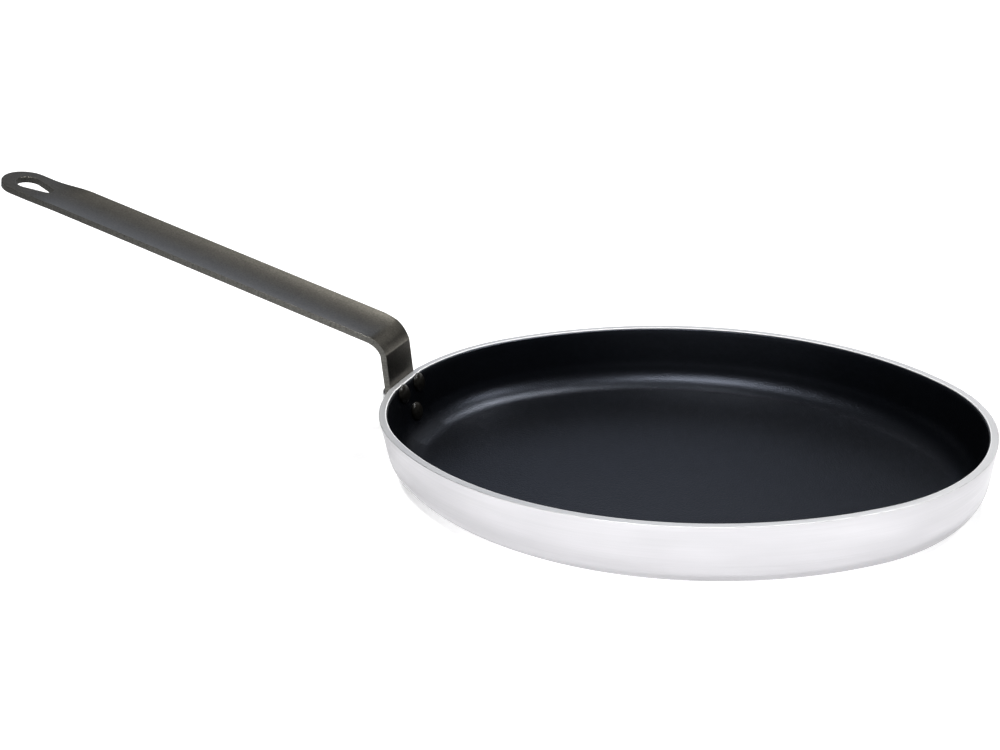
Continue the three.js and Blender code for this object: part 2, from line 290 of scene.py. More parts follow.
def add_node(tree, kind, inputs=(), **settings):
    """Adds a node with its settings. Each input is set to a value or linked to a socket or node."""
    node = tree.nodes.new(kind)
    for name, value in settings.items():
        setattr(node, name, value)
    for socket, value in dict(inputs).items():
        if isinstance(value, bpy.types.Node):
            value = value.outputs[0]
        if isinstance(value, bpy.types.NodeSocket):
            tree.links.new(value, node.inputs[socket])
        else:
            node.inputs[socket].default_value = value
    return node


def new_material(name):
    """An empty material, a function that adds nodes to it, and its object coordinates."""
    material = bpy.data.materials.new(name)
    material.use_nodes = True
    material.node_tree.nodes.clear()
    add = partial(add_node, material.node_tree)
    return material, add, add("ShaderNodeTexCoord").outputs["Object"]


def close_material(add, base, shade, relief, inputs):
    """Ends a material in one surface with these inputs.

    Its colour is the base colour times a shade. Its relief is a strength, a depth and a pattern.
    """
    strength, depth, pattern = relief
    body = add("ShaderNodeVectorMath", {0: tuple(base), "Scale": shade}, operation="SCALE")
    bump = add("ShaderNodeBump", {"Strength": strength, "Distance": depth, "Height": pattern})
    surface = add("ShaderNodeBsdfPrincipled", {"Base Color": body, "Normal": bump, **inputs})
    add("ShaderNodeOutputMaterial", {"Surface": surface})


def new_tree(name, source, result, sizes):
    """An empty geometry tree with an input per size, a function that adds nodes, and the inputs."""
    tree = bpy.data.node_groups.new(name, "GeometryNodeTree")
    tree.interface.new_socket(source, in_out="INPUT", socket_type="NodeSocketGeometry")
    tree.interface.new_socket(result, in_out="OUTPUT", socket_type="NodeSocketGeometry")
    for size, value in sizes.items():
        kind = "NodeSocketInt" if isinstance(value, int) else "NodeSocketFloat"
        tree.interface.new_socket(size, in_out="INPUT", socket_type=kind)
    add = partial(add_node, tree)
    return tree, add, add("NodeGroupInput").outputs


# Finishes

def aluminium(name, metal, streak_width, streak_length, roughness, bump):
    """Aluminium worked by an abrasive belt that ran round the pan.

    The eye gets a soft, near-white metal with faint streaks that follow the rim. Real belt lines are
    about 0.05 mm apart, too fine to show, so they are drawn wider. Broad patches break them up, where
    the belt bore harder and left the metal brighter and smoother.
    """
    material, add, place = new_material(name)
    plan = add("ShaderNodeSeparateXYZ", {0: place}).outputs
    run = add("ShaderNodeAttribute", attribute_name="section_run").outputs["Fac"]
    ringed = add("ShaderNodeCombineXYZ", {0: plan[0], 1: plan[1], 2: run})
    fine = (1 / streak_length, 1 / streak_length, 1 / streak_width)
    broad = (1 / PATCH_LENGTH, 1 / PATCH_LENGTH, 1 / PATCH_WIDTH)
    drawn = []
    for scale, detail in ((fine, 4.0), (broad, 2.0)):
        stretched = add("ShaderNodeMapping", {"Vector": ringed, "Scale": scale})
        drawn.append(add("ShaderNodeTexNoise", {"Vector": stretched, "Scale": 1.0, "Detail": detail}))
    streaks, patches = drawn
    worked = add("ShaderNodeMath", {0: streaks, 1: patches}, operation="MULTIPLY")
    least, most = 0.1, 0.45
    rough, smooth = roughness + 0.07, roughness - 0.05
    tint = add("ShaderNodeMapRange", {0: worked, 1: least, 2: most, 3: 0.93, 4: 1.0})
    gloss = add("ShaderNodeMapRange", {0: worked, 1: least, 2: most, 3: rough, 4: smooth})
    relief = (bump, 0.05 * MM, streaks)
    close_material(add, metal, tint, relief, {"Metallic": 1.0, "Roughness": gloss})
    return material


def nonstick_coat(coat):
    """Sprayed and baked PTFE coat: near black with a blue cast and a soft sheen.

    Fine orange peel breaks up the sheen. The real grain is a few tenths of a millimetre, so it is drawn
    a little coarser to show.
    """
    material, add, place = new_material("nonstick_ptfe_coat")
    grain = add("ShaderNodeTexNoise", {"Vector": place, "Scale": 1 / (0.9 * MM), "Detail": 2.0})
    cloud = add("ShaderNodeTexNoise", {"Vector": place, "Scale": 1 / (18 * MM), "Detail": 2.0})
    tint = add("ShaderNodeMapRange", {0: cloud, 1: NOISE_LOW, 2: NOISE_HIGH, 3: 0.75, 4: 1.25})
    gloss = add("ShaderNodeMapRange", {0: grain, 1: NOISE_LOW, 2: NOISE_HIGH, 3: 0.28, 4: 0.35})
    relief = (1.0, 0.18 * MM, grain)
    blue_sheen = (0.72, 0.8, 1.0, 1.0)
    inputs = {"Roughness": gloss, "IOR": 1.42, "Specular Tint": blue_sheen}
    close_material(add, coat, tint, relief, inputs)
    return material


def coated_steel(coat):
    """Hot-rolled steel strip under a thin baked coat: dark grey-brown, half matt, with a fine grain.

    The real grain is a few tenths of a millimetre, so it is drawn coarser to show.
    """
    material, add, place = new_material("coated_steel_strip")
    grain = add("ShaderNodeTexNoise", {"Vector": place, "Scale": 1 / (1.1 * MM), "Detail": 3.0})
    cloud = add("ShaderNodeTexNoise", {"Vector": place, "Scale": 1 / (9 * MM), "Detail": 3.0})
    mixed = add("ShaderNodeMath", {0: cloud, 1: 0.2, 2: grain}, operation="MULTIPLY_ADD")
    tint = add("ShaderNodeMapRange", {0: mixed, 1: 0.35, 2: 0.85, 3: 0.7, 4: 1.3})
    gloss = add("ShaderNodeMapRange", {0: grain, 1: NOISE_LOW, 2: NOISE_HIGH, 3: 0.28, 4: 0.31})
    relief = (0.03, 0.06 * MM, grain)
    close_material(add, coat, tint, relief, {"Metallic": 1.0, "Roughness": gloss})
    return material


def sheared_edge(edge, bend, tip):
    """The strip's cut edge under the same coat: rougher, with marks of the shear across its thickness.

    Painted light makes it palest at the bend and darkens it towards the tip.
    """
    material, add, place = new_material("sheared_strip_edge")
    run = add("ShaderNodeAttribute", attribute_name="strip_run").outputs["Fac"]
    lengthwise = add("ShaderNodeCombineXYZ", {0: run})
    marks = add("ShaderNodeTexNoise", {"Vector": lengthwise, "Scale": 1 / (1.6 * MM), "Detail": 3.0})
    grain = add("ShaderNodeTexNoise", {"Vector": place, "Scale": 1 / (0.9 * MM), "Detail": 2.0})
    mixed = add("ShaderNodeMath", {0: marks, 1: grain}, operation="ADD")
    tint = add("ShaderNodeMapRange", {0: mixed, 1: 2 * NOISE_LOW, 2: 2 * NOISE_HIGH, 3: 0.5, 4: 1.5})
    # Painted light and shade along the edge: palest at the bend, darkest at the tip.
    painted_bend_light = add("ShaderNodeMapRange", {0: run, 1: bend, 2: tip, 3: 1.1, 4: 0.3})
    shade = add("ShaderNodeMath", {0: tint, 1: painted_bend_light}, operation="MULTIPLY")
    relief = (0.15, 0.1 * MM, mixed)
    close_material(add, edge, shade, relief, {"Roughness": 0.7, "IOR": 1.25})
    return material


def coated_rivet(coat):
    """Aluminium rivet head under the pan's own coat: brown-black and glossy, with a fine grain."""
    material, add, place = new_material("coated_rivet_head")
    grain = add("ShaderNodeTexNoise", {"Vector": place, "Scale": 1 / (1.1 * MM), "Detail": 2.0})
    tint = add("ShaderNodeMapRange", {0: grain, 1: NOISE_LOW, 2: NOISE_HIGH, 3: 0.7, 4: 1.3})
    relief = (0.2, 0.08 * MM, grain)
    close_material(add, coat, tint, relief, {"Roughness": 0.3, "IOR": 1.42})
    return material


# Shape of the pan

def oval_arcs(pan):
    """The rim outline: end centre, side radius, side centre and the angle where the arcs join."""
    half_width = pan.width / 2
    end_radius = pan.end_arc_radius
    end_centre = pan.length / 2 - end_radius
    side_radius = (end_centre**2 + half_width**2 - end_radius**2) / (2 * (half_width - end_radius))
    side_centre = side_radius - half_width
    return end_centre, side_radius, side_centre, atan2(side_centre, end_centre)


def wall_inset(pan, depth, z):
    """How far the wall's surface at a depth under the outer one is drawn in from the rim outline."""
    return (pan.height - z) * tan(pan.draft) + depth / cos(pan.draft)


def evenly(first, last, steps):
    return [first + (last - first) * i / steps for i in range(steps + 1)]


def bowl_rows(pan, depth, top):
    """Section of the bowl at a depth under its outer surface, from the middle of its floor upwards.

    A row is an inset from the rim outline, a share that shrinks its ring to the middle, and a height.
    """
    radius = pan.corner_radius - depth
    centre = wall_inset(pan, pan.corner_radius, pan.corner_radius)
    rows = [(centre, share, depth) for share in evenly(0, 1, FLOOR_STEPS)[:-1]]
    for turn in evenly(pi / 2, pan.draft, CORNER_STEPS):
        z = pan.corner_radius - radius * sin(turn)
        rows.append((centre - radius * cos(turn), 1.0, z))
    wall = evenly(rows[-1][2], top, WALL_STEPS)[1:]
    return rows + [(wall_inset(pan, depth, z), 1.0, z) for z in wall]


def rim_rows(pan):
    """Section over the rim with its finishes: rounded outer edge, flat top and rounded inner edge."""
    outer = pan.outer_edge
    inner = pan.inner_edge
    outer_centre = wall_inset(pan, outer, pan.height - outer)
    inner_centre = wall_inset(pan, pan.sheet - inner, pan.height - inner)
    rows = []
    for turn in evenly(-pan.draft, pi / 2, EDGE_STEPS):
        z = pan.height - outer + outer * sin(turn)
        rows.append((outer_centre - outer * cos(turn), 1.0, z, RIM))

    # Two rows close to the edges keep the top flat when it is shaded smooth.
    beside = (inner_centre - outer_centre) / 10
    for inset in (outer_centre + beside, inner_centre - beside):
        rows.append((inset, 1.0, pan.height, RIM))
    for turn in evenly(pi / 2, pan.draft, EDGE_STEPS):
        z = pan.height - inner + inner * sin(turn)
        rows.append((inner_centre + inner * cos(turn), 1.0, z, EDGE))
    return rows


def shell_rows(pan):
    """Section of the shell, from the middle of its base over the rim to the middle of its floor."""
    outer_top = pan.height - pan.outer_edge * (1 + sin(pan.draft))

    # The inside starts a little under the rounded inner edge.
    inner_top = pan.height - pan.bare_rim * 1.5
    outside = [(*row, WALL) for row in bowl_rows(pan, 0, outer_top)[:-1]]
    inside = [(*row, EDGE) for row in bowl_rows(pan, pan.sheet, inner_top)]
    return outside + rim_rows(pan) + inside[::-1]


def lining_rows(pan):
    """Section of the lining: its underside, a feathered top edge and its upper side."""
    top = pan.height - pan.bare_rim
    under = bowl_rows(pan, pan.sheet + pan.lining_gap, top)
    over = bowl_rows(pan, pan.sheet + pan.lining_gap + pan.lining, top - pan.feather)
    return [(*row, WALL) for row in under + over[::-1]]


def oval_sweep_tree(sizes, finishes):
    """A tree that sweeps a section round the four-arc oval, with a finish by number on each strip."""
    tree, add, given = new_tree("oval_sweep", "Section", "Bowl", sizes)

    # A plain grid: x runs round the oval and y along the section.
    size = add("GeometryNodeAttributeDomainSize", {0: given["Section"]}, component="MESH")
    count = size.outputs["Point Count"]
    grid = add("GeometryNodeMeshGrid", {"Vertices X": given["Stations"], "Vertices Y": count})
    position = add("GeometryNodeInputPosition")
    on_grid = add("ShaderNodeSeparateXYZ", {0: position})
    facing = add("ShaderNodeMath", {0: on_grid.outputs[0], 1: 2 * pi}, operation="MULTIPLY")
    cosine = add("ShaderNodeMath", {0: facing}, operation="COSINE")
    sine = add("ShaderNodeMath", {0: facing}, operation="SINE")

    # The row's number. The quarter lets it hold on points and, rounded down, on faces between two rows.
    strips = add("ShaderNodeMath", {0: count, 1: 1.0}, operation="SUBTRACT")
    climbed = add("ShaderNodeMath", {0: on_grid.outputs[1], 1: 0.5}, operation="ADD")
    row = add("ShaderNodeMath", {0: climbed, 1: strips, 2: 0.25}, operation="MULTIPLY_ADD")
    row = add("ShaderNodeMath", {0: row}, operation="FLOOR")
    place = add(
        "GeometryNodeSampleIndex",
        {"Geometry": given["Section"], "Value": position, "Index": row},
        data_type="FLOAT_VECTOR",
    )
    inset, share, height = add("ShaderNodeSeparateXYZ", {0: place}).outputs
    stored = grid
    for name, kind, domain in (("section_run", "FLOAT", "POINT"), ("finish", "INT", "FACE")):
        drawn = add("GeometryNodeInputNamedAttribute", {"Name": name}, data_type=kind)
        found = add(
            "GeometryNodeSampleIndex",
            {"Geometry": given["Section"], "Value": drawn, "Index": row},
            data_type=kind,
        )
        stored = add(
            "GeometryNodeStoreNamedAttribute",
            {"Geometry": stored, "Name": name, "Value": found},
            data_type=kind,
            domain=domain,
        )

    # The arc that faces this way, drawn in by the inset.
    steep = add("ShaderNodeMath", {0: sine}, operation="ABSOLUTE")
    on_end = add("ShaderNodeMath", {0: steep, 1: given["Join Sine"]}, operation="LESS_THAN")
    which_end = add("ShaderNodeMath", {0: cosine}, operation="SIGN")
    which_side = add("ShaderNodeMath", {0: sine}, operation="SIGN")
    end_x = add("ShaderNodeMath", {0: which_end, 1: given["End Centre"]}, operation="MULTIPLY")
    side_y = add("ShaderNodeMath", {0: which_side, 1: given["Side Centre"]}, operation="MULTIPLY")
    radius, centre_x, centre_y = (
        add("GeometryNodeSwitch", {"Switch": on_end, "False": side, "True": end}, input_type="FLOAT")
        for side, end in ((given["Side Radius"], given["End Radius"]), (0.0, end_x), (side_y, 0.0))
    )
    radius = add("ShaderNodeMath", {0: radius, 1: inset}, operation="SUBTRACT")
    x = add("ShaderNodeMath", {0: radius, 1: cosine, 2: centre_x}, operation="MULTIPLY_ADD")
    y = add("ShaderNodeMath", {0: radius, 1: sine, 2: centre_y}, operation="MULTIPLY_ADD")

    # Close to the -X end the oval is pulled over to the seat flat.
    turned = add("ShaderNodeMath", {0: facing}, operation="ABSOLUTE")
    from_seat = add("ShaderNodeMath", {0: pi, 1: turned}, operation="SUBTRACT")
    pull = add(
        "ShaderNodeMapRange",
        {0: from_seat, 1: given["Flat Angle"], 2: given["Blend Angle"], 3: 1.0, 4: 0.0},
        interpolation_type="SMOOTHSTEP",
    )
    seat_x = add("ShaderNodeMath", {0: inset, 1: given["Seat X"]}, operation="ADD")
    short = add("ShaderNodeMath", {0: seat_x, 1: x}, operation="SUBTRACT")
    x = add("ShaderNodeMath", {0: short, 1: pull, 2: x}, operation="MULTIPLY_ADD")
    x = add("ShaderNodeMath", {0: x, 1: share}, operation="MULTIPLY")
    y = add("ShaderNodeMath", {0: y, 1: share}, operation="MULTIPLY")
    swept = add("ShaderNodeCombineXYZ", {0: x, 1: y, 2: height})
    bowl = add("GeometryNodeSetPosition", {"Geometry": stored, "Position": swept})
    bowl = add("GeometryNodeMergeByDistance", {"Geometry": bowl, "Distance": BOWL_MERGE})
    bowl = add("GeometryNodeSetShadeSmooth", {"Geometry": bowl, "Shade Smooth": True})
    bowl = add("GeometryNodeRealizeInstances", {"Geometry": bowl})
    finish = add("GeometryNodeInputNamedAttribute", {"Name": "finish"}, data_type="INT")
    for i, material in enumerate(finishes):
        chosen = add("FunctionNodeCompare", {2: finish, 3: i}, data_type="INT", operation="EQUAL")
        dressed = {"Geometry": bowl, "Selection": chosen, "Material": material}
        bowl = add("GeometryNodeSetMaterial", dressed)
    add("NodeGroupOutput", {0: bowl})
    return tree


def run_tree(obj, tree, inputs):
    """Runs a node tree on an object, with its inputs by name, and keeps the result as a plain mesh."""
    modifier = obj.modifiers.new(tree.name, "NODES")
    modifier.node_group = tree
    for item in tree.interface.items_tree:
        if item.in_out == "INPUT" and item.name in inputs:
            modifier[item.identifier] = inputs[item.name]
    return keep_mesh(obj)


def keep_mesh(obj):
    """Replaces an object's mesh by its evaluated one, without modifiers."""
    depsgraph = bpy.context.evaluated_depsgraph_get()
    mesh = bpy.data.meshes.new_from_object(
        obj.evaluated_get(depsgraph), preserve_all_data_layers=True, depsgraph=depsgraph
    )
    obj.modifiers.clear()
    obj.data = mesh
    mesh.name = obj.name
    if not mesh.polygons:
        raise RuntimeError(f"{obj.name} came out empty")
    return obj


def new_object(name, data):
    obj = bpy.data.objects.new(name, data)
    bpy.context.scene.collection.objects.link(obj)
    return obj


def swept_bowl(name, pan, rows, finishes):
    """A piece made by sweeping section rows round the pan's oval."""
    mesh = bpy.data.meshes.new(name + "_section")
    mesh.from_pydata([row[:3] for row in rows], [(i, i + 1) for i in range(len(rows) - 1)], [])
    end_centre, side_radius, side_centre, join = oval_arcs(pan)
    half_flat = pan.seat_flat / 2
    run = 0.0
    runs = [run]
    for before, after in zip(rows, rows[1:]):
        reach = pan.width / 2 * (after[1] - before[1])
        run += hypot(after[0] - before[0], reach, after[2] - before[2])
        runs.append(run)
    mesh.attributes.new("section_run", "FLOAT", "POINT").data.foreach_set("value", runs)
    mesh.attributes.new("finish", "INT", "POINT").data.foreach_set("value", [row[3] for row in rows])
    sizes = {
        "Stations": STATIONS,
        "End Radius": pan.end_arc_radius,
        "End Centre": end_centre,
        "Side Radius": side_radius,
        "Side Centre": -side_centre,
        "Join Sine": sin(join),
        "Seat X": Seat(pan).x,
        "Flat Angle": asin(half_flat / pan.end_arc_radius),
        "Blend Angle": asin((half_flat + pan.seat_blend) / pan.end_arc_radius),
    }
    return run_tree(new_object(name, mesh), oval_sweep_tree(sizes, finishes), sizes)


# Shape of the handle

def along(turn):
    """Direction along the strip where it has turned outwards from upright by an angle."""
    return Vector((-sin(turn), 0, cos(turn)))


def out_of(turn):
    """Direction out of the strip's face there: towards the pan on the upright, and up on the bar."""
    return Vector((cos(turn), 0, sin(turn)))


def ease(share):
    """A smooth step from 0 to 1."""
    share = min(max(share, 0.0), 1.0)
    return share * share * (3 - 2 * share)


class Seat:
    """The pressed flat at the -X end of the wall, which the handle foot lies on."""

    def __init__(self, pan):
        self.top = pan.height
        self.x = -(pan.length / 2 - pan.seat_inset)
        self.draft = pan.draft

    def point(self, y, z):
        return Vector((self.x + (self.top - z) * tan(self.draft), y, z))


def cross(a, b):
    """Cross product of two directions in the plane of the strip's path."""
    return a.x * b.z - a.z * b.x


class StripPath:
    """The face of the bent strip, from the foot on the wall up over the rim and out along the bar.

    A run is a distance along that face from the end of the foot. The pieces of the path, in order, are
    foot, rim bend, upright, crease, bend and bar.
    """

    def __init__(self, pan, handle, rivets):
        seat = Seat(pan)
        self.draft = seat.draft
        self.lean = handle.lean
        self.crease = handle.crease
        self.bar_turn = pi / 2 - handle.slope
        self.rim_radius = handle.rim_bend_radius
        self.crease_radius = handle.crease_radius + handle.thickness
        self.bend_radius = handle.bend_radius + handle.thickness
        self.foot_end = rivets.lower_drop / cos(seat.draft) + handle.foot_below
        rim = seat.point(0, pan.height) - out_of(seat.draft) * handle.seat_gap
        self.start = rim - along(seat.draft) * self.foot_end
        self.rim_centre = rim + out_of(seat.draft) * self.rim_radius
        self.upright_foot = self.rim_centre - out_of(self.lean) * self.rim_radius
        upright = (pan.height + handle.rise - self.upright_foot.z) / cos(self.lean)
        self.corner = self.upright_foot + along(self.lean) * upright

        # Crease and bend shorten the lines of the upright and the bar, from the corner where they meet.
        step = (out_of(self.crease) - out_of(self.lean)) * self.crease_radius
        step += (out_of(self.bar_turn) - out_of(self.crease)) * self.bend_radius
        upright_cut = cross(step, along(self.bar_turn)) / sin(self.bar_turn - self.lean)
        bar_cut = cross(along(self.lean), step) / sin(self.bar_turn - self.lean)
        crease_start = self.corner - along(self.lean) * upright_cut
        self.crease_centre = crease_start - out_of(self.lean) * self.crease_radius
        wider = self.bend_radius - self.crease_radius
        self.bend_centre = self.crease_centre - out_of(self.crease) * wider
        self.rim_end = self.foot_end + self.rim_radius * (self.draft - self.lean)
        self.upright_end = self.rim_end + upright - upright_cut
        self.crease_end = self.upright_end + self.crease_radius * (self.crease - self.lean)
        self.bend_end = self.crease_end + self.bend_radius * (self.bar_turn - self.crease)
        self.corner_run = self.bend_end - bar_cut
        self.tip = self.corner_run + handle.bar

    def place(self, run):
        """The point on the face at a run, and the angle by which the strip has turned from upright."""
        if run <= self.foot_end:
            return self.start + along(self.draft) * run, self.draft
        if run <= self.rim_end:
            turn = self.draft - (run - self.foot_end) / self.rim_radius
            return self.rim_centre - out_of(turn) * self.rim_radius, turn
        if run <= self.upright_end:
            return self.upright_foot + along(self.lean) * (run - self.rim_end), self.lean
        if run <= self.crease_end:
            turn = self.lean + (run - self.upright_end) / self.crease_radius
            return self.crease_centre + out_of(turn) * self.crease_radius, turn
        if run <= self.bend_end:
            turn = self.crease + (run - self.crease_end) / self.bend_radius
            return self.bend_centre + out_of(turn) * self.bend_radius, turn
        return self.corner + along(self.bar_turn) * (run - self.corner_run), self.bar_turn

    def stations(self):
        """Runs at which the strip is cut across so that it can bend."""
        cuts = evenly(self.foot_end, self.rim_end, RIM_BEND_STEPS)
        cuts += evenly(self.upright_end, self.crease_end, CREASE_STEPS)
        cuts += evenly(self.crease_end, self.bend_end, BEND_STEPS)[1:]
        cuts += evenly(0, self.foot_end, FOOT_STEPS)[1:-1]
        cuts += evenly(self.rim_end, self.upright_end, UPRIGHT_STEPS)[1:-1]
        return cuts + evenly(self.bend_end, self.tip, BAR_STEPS)[1:-1]


class StripShape:
    """Half width and dish of the strip along its path."""

    def __init__(self, handle, path):
        self.foot = handle.foot_width / 2
        self.grip = handle.grip_width / 2
        self.end = handle.end_width / 2
        self.full_dish = handle.dish
        self.grow_from = path.crease_end
        self.grow_to = path.bend_end + handle.grip_blend
        self.flat_to = path.tip - handle.end_flat
        self.flat_from = self.flat_to - handle.end_blend

    def grown(self, run):
        return ease((run - self.grow_from) / (self.grow_to - self.grow_from))

    def flattened(self, run):
        return ease((run - self.flat_from) / (self.flat_to - self.flat_from))

    def half(self, run):
        wide = self.foot + (self.grip - self.foot) * self.grown(run)
        return wide + (self.end - self.grip) * self.flattened(run)

    def dish(self, run):
        return self.full_dish * self.grown(run) * (1 - self.flattened(run))


def arc_points(centre, radius, first, last, steps):
    x, y = centre
    turns = evenly(first, last, steps)
    return [(x + radius * cos(turn), y + radius * sin(turn)) for turn in turns]


def blank_outlines(handle, path, shape):
    """Outlines of the flat blank, in run and width: the strip's own and the teardrop eye's."""
    corner = handle.foot_corner
    quarter = pi / 2
    side = arc_points((corner, shape.foot - corner), corner, pi, quarter, FOOT_CORNER_STEPS)
    runs = evenly(shape.grow_from, shape.grow_to, WIDEN_STEPS)
    runs += evenly(shape.flat_from, shape.flat_to, NARROW_STEPS)
    side += [(run, shape.half(run)) for run in runs]
    side += arc_points((path.tip - shape.end, 0), shape.end, quarter, 0, TIP_STEPS)[:-1]
    strip = side + [(path.tip, 0)] + [(run, -y) for run, y in side[::-1]]

    eye = (path.tip - handle.eye_inset, 0)
    neck = (eye[0] - handle.eye_length, 0)
    around = pi - acos((handle.eye_radius - handle.eye_neck) / handle.eye_length)
    teardrop = arc_points(eye, handle.eye_radius, -around, around, EYE_STEPS)
    teardrop += arc_points(neck, handle.eye_neck, around, 2 * pi - around, NECK_STEPS)
    return strip, teardrop


def flat_blank(handle, outlines):
    """The stamped blank as a plate with rounded edges, its face at height 0."""
    curve = bpy.data.curves.new("blank", "CURVE")
    curve.dimensions = "2D"
    curve.fill_mode = "BOTH"
    curve.bevel_depth = handle.edge_round
    curve.bevel_resolution = BLANK_EDGE_STEPS
    curve.offset = -handle.edge_round
    curve.extrude = handle.thickness / 2 - handle.edge_round
    for outline in outlines:
        spline = curve.splines.new("POLY")
        spline.points.add(len(outline) - 1)
        spline.use_cyclic_u = True
        for point, (run, y) in zip(spline.points, outline):
            point.co = (run, y, 0, 1)
    obj = new_object("blank", curve)
    depsgraph = bpy.context.evaluated_depsgraph_get()
    mesh = bpy.data.meshes.new_from_object(obj.evaluated_get(depsgraph), depsgraph=depsgraph)
    bpy.data.objects.remove(obj)
    bpy.data.curves.remove(curve)
    mesh.materials.clear()
    for vertex in mesh.vertices:
        vertex.co.z -= handle.thickness / 2
    return mesh


def cut_across(bm, co, normal):
    everything = bm.verts[:] + bm.edges[:] + bm.faces[:]
    bmesh.ops.bisect_plane(bm, geom=everything, dist=BLANK_MERGE, plane_co=co, plane_no=normal)


def bent_strip(handle, path):
    """The handle's mesh: the blank is cut into a grid, then bent along its path and dished."""
    shape = StripShape(handle, path)
    mesh = flat_blank(handle, blank_outlines(handle, path, shape))
    bm = bmesh.new()
    bm.from_mesh(mesh)
    bmesh.ops.remove_doubles(bm, verts=bm.verts, dist=BLANK_MERGE)
    bmesh.ops.dissolve_limit(bm, angle_limit=BLANK_FLAT, verts=bm.verts, edges=bm.edges)
    for run in path.stations():
        cut_across(bm, (run, 0, 0), (1, 0, 0))
    for y in evenly(-shape.foot, shape.foot, WIDTH_STEPS):
        cut_across(bm, (0, y, 0), (0, 1, 0))
    bmesh.ops.recalc_face_normals(bm, faces=bm.faces)
    run_layer = bm.verts.layers.float.new("strip_run")
    for face in bm.faces:
        face.smooth = True
        face.material_index = 1 if abs(face.normal.z) < FLAT_FACE else 0
    for vertex in bm.verts:
        run, y, h = vertex.co
        point, turn = path.place(run)
        lift = shape.dish(run) * (y / shape.half(run)) ** 2
        bent = point + out_of(turn) * (h + lift)
        vertex[run_layer] = run
        vertex.co = (bent.x, y, bent.z)
    bm.normal_update()
    if bm.calc_volume(signed=True) < 0:
        bmesh.ops.reverse_faces(bm, faces=bm.faces)
    bm.to_mesh(mesh)
    bm.free()
    return mesh


# Shape of the rivets

def rivet_tree(sizes, metal, coat):
    """A tree that sets one rivet on each point of the seat, square to the wall."""
    tree, add, given = new_tree("wall_rivets", "Places", "Rivets", sizes)

    # A head is a ball with its lower half pressed flat, then drawn out to the head's radius and dome.
    position = add("GeometryNodeInputPosition")
    round_ball = {"Segments": HEAD_SEGMENTS, "Rings": HEAD_RINGS, "Radius": 1.0}
    ball = add("GeometryNodeMeshUVSphere", round_ball)
    parts = add("GeometryNodeJoinGeometry")
    for end, inner in (("Head", True), ("Outer", False)):
        radius, dome = given[end + " Radius"], given[end + " Dome"]
        x, y, z = add("ShaderNodeSeparateXYZ", {0: position}).outputs
        press = add("ShaderNodeMath", {0: given["Skirt"], 1: dome}, operation="DIVIDE")
        press = add("ShaderNodeMath", {0: press, 1: -1.0}, operation="MULTIPLY")
        above = add("ShaderNodeMath", {0: z, 1: press}, operation="MAXIMUM")
        pressed = add("ShaderNodeCombineXYZ", {0: x, 1: y, 2: above})
        size = add("ShaderNodeCombineXYZ", {0: radius, 1: radius, 2: dome})
        drawn = add("ShaderNodeVectorMath", {0: pressed, 1: size}, operation="MULTIPLY")
        head = add("GeometryNodeSetPosition", {"Geometry": ball, "Position": drawn})
        base = add("ShaderNodeCombineXYZ", {2: given[end + " Base"]})
        head = add(
            "GeometryNodeTransform",
            {"Geometry": head, "Translation": base, "Rotation": (0 if inner else pi, 0, 0)},
        )
        head = add(
            "GeometryNodeStoreNamedAttribute",
            {"Geometry": head, "Name": "coated", "Value": inner},
            data_type="BOOLEAN",
            domain="FACE",
        )
        tree.links.new(head.outputs[0], parts.inputs[0])
    grip = add("ShaderNodeMath", {0: given["Head Base"], 1: given["Outer Base"]}, operation="SUBTRACT")
    middle = add("ShaderNodeMath", {0: given["Head Base"], 1: given["Outer Base"]}, operation="ADD")
    middle = add("ShaderNodeMath", {0: middle, 1: 0.5}, operation="MULTIPLY")
    shank = add(
        "GeometryNodeMeshCylinder",
        {"Vertices": SHANK_SIDES, "Side Segments": 1, "Radius": given["Shank Radius"], "Depth": grip},
    )
    raised = add("ShaderNodeCombineXYZ", {2: middle})
    shank = add("GeometryNodeTransform", {"Geometry": shank, "Translation": raised})
    tree.links.new(shank.outputs[0], parts.inputs[0])

    turned = add("ShaderNodeCombineXYZ", {1: given["Lean"]})
    seated = {"Points": given["Places"], "Instance": parts, "Rotation": turned}
    solid = add("GeometryNodeInstanceOnPoints", seated)
    solid = add("GeometryNodeRealizeInstances", {"Geometry": solid})
    solid = add("GeometryNodeSetShadeSmooth", {"Geometry": solid, "Shade Smooth": True})
    solid = add("GeometryNodeSetMaterial", {"Geometry": solid, "Material": metal})
    coated = add("GeometryNodeInputNamedAttribute", {"Name": "coated"}, data_type="BOOLEAN")
    solid = add("GeometryNodeSetMaterial", {"Geometry": solid, "Selection": coated, "Material": coat})
    add("NodeGroupOutput", {0: solid})
    return tree


# Operators of the pieces

class FISHPAN_OT_shell(bpy.types.Operator):
    """Build the pressed aluminium shell"""

    bl_idname = "fishpan.shell"
    bl_label = "Shell"

    def execute(self, context):
        pan = context.scene.fish_pan.pan
        finishes = (
            aluminium("belt_finished_aluminium", pan.metal, *BELT_FINISH),
            aluminium("machined_aluminium_rim", pan.rim_metal, *TURNED_FINISH),
            aluminium("bright_aluminium_edge", pan.edge_metal, *CUT_FINISH),
        )
        shell = swept_bowl("pan_shell", pan, shell_rows(pan), finishes)
        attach(shell, "root")
        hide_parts("pan_body")
        return {"FINISHED"}


class FISHPAN_OT_lining(bpy.types.Operator):
    """Build the non-stick lining"""

    bl_idname = "fishpan.lining"
    bl_label = "Lining"

    def execute(self, context):
        pan = context.scene.fish_pan.pan
        lining = swept_bowl("pan_lining", pan, lining_rows(pan), (nonstick_coat(pan.coat),))
        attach(lining, "root")
        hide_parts("nonstick_lining")
        return {"FINISHED"}


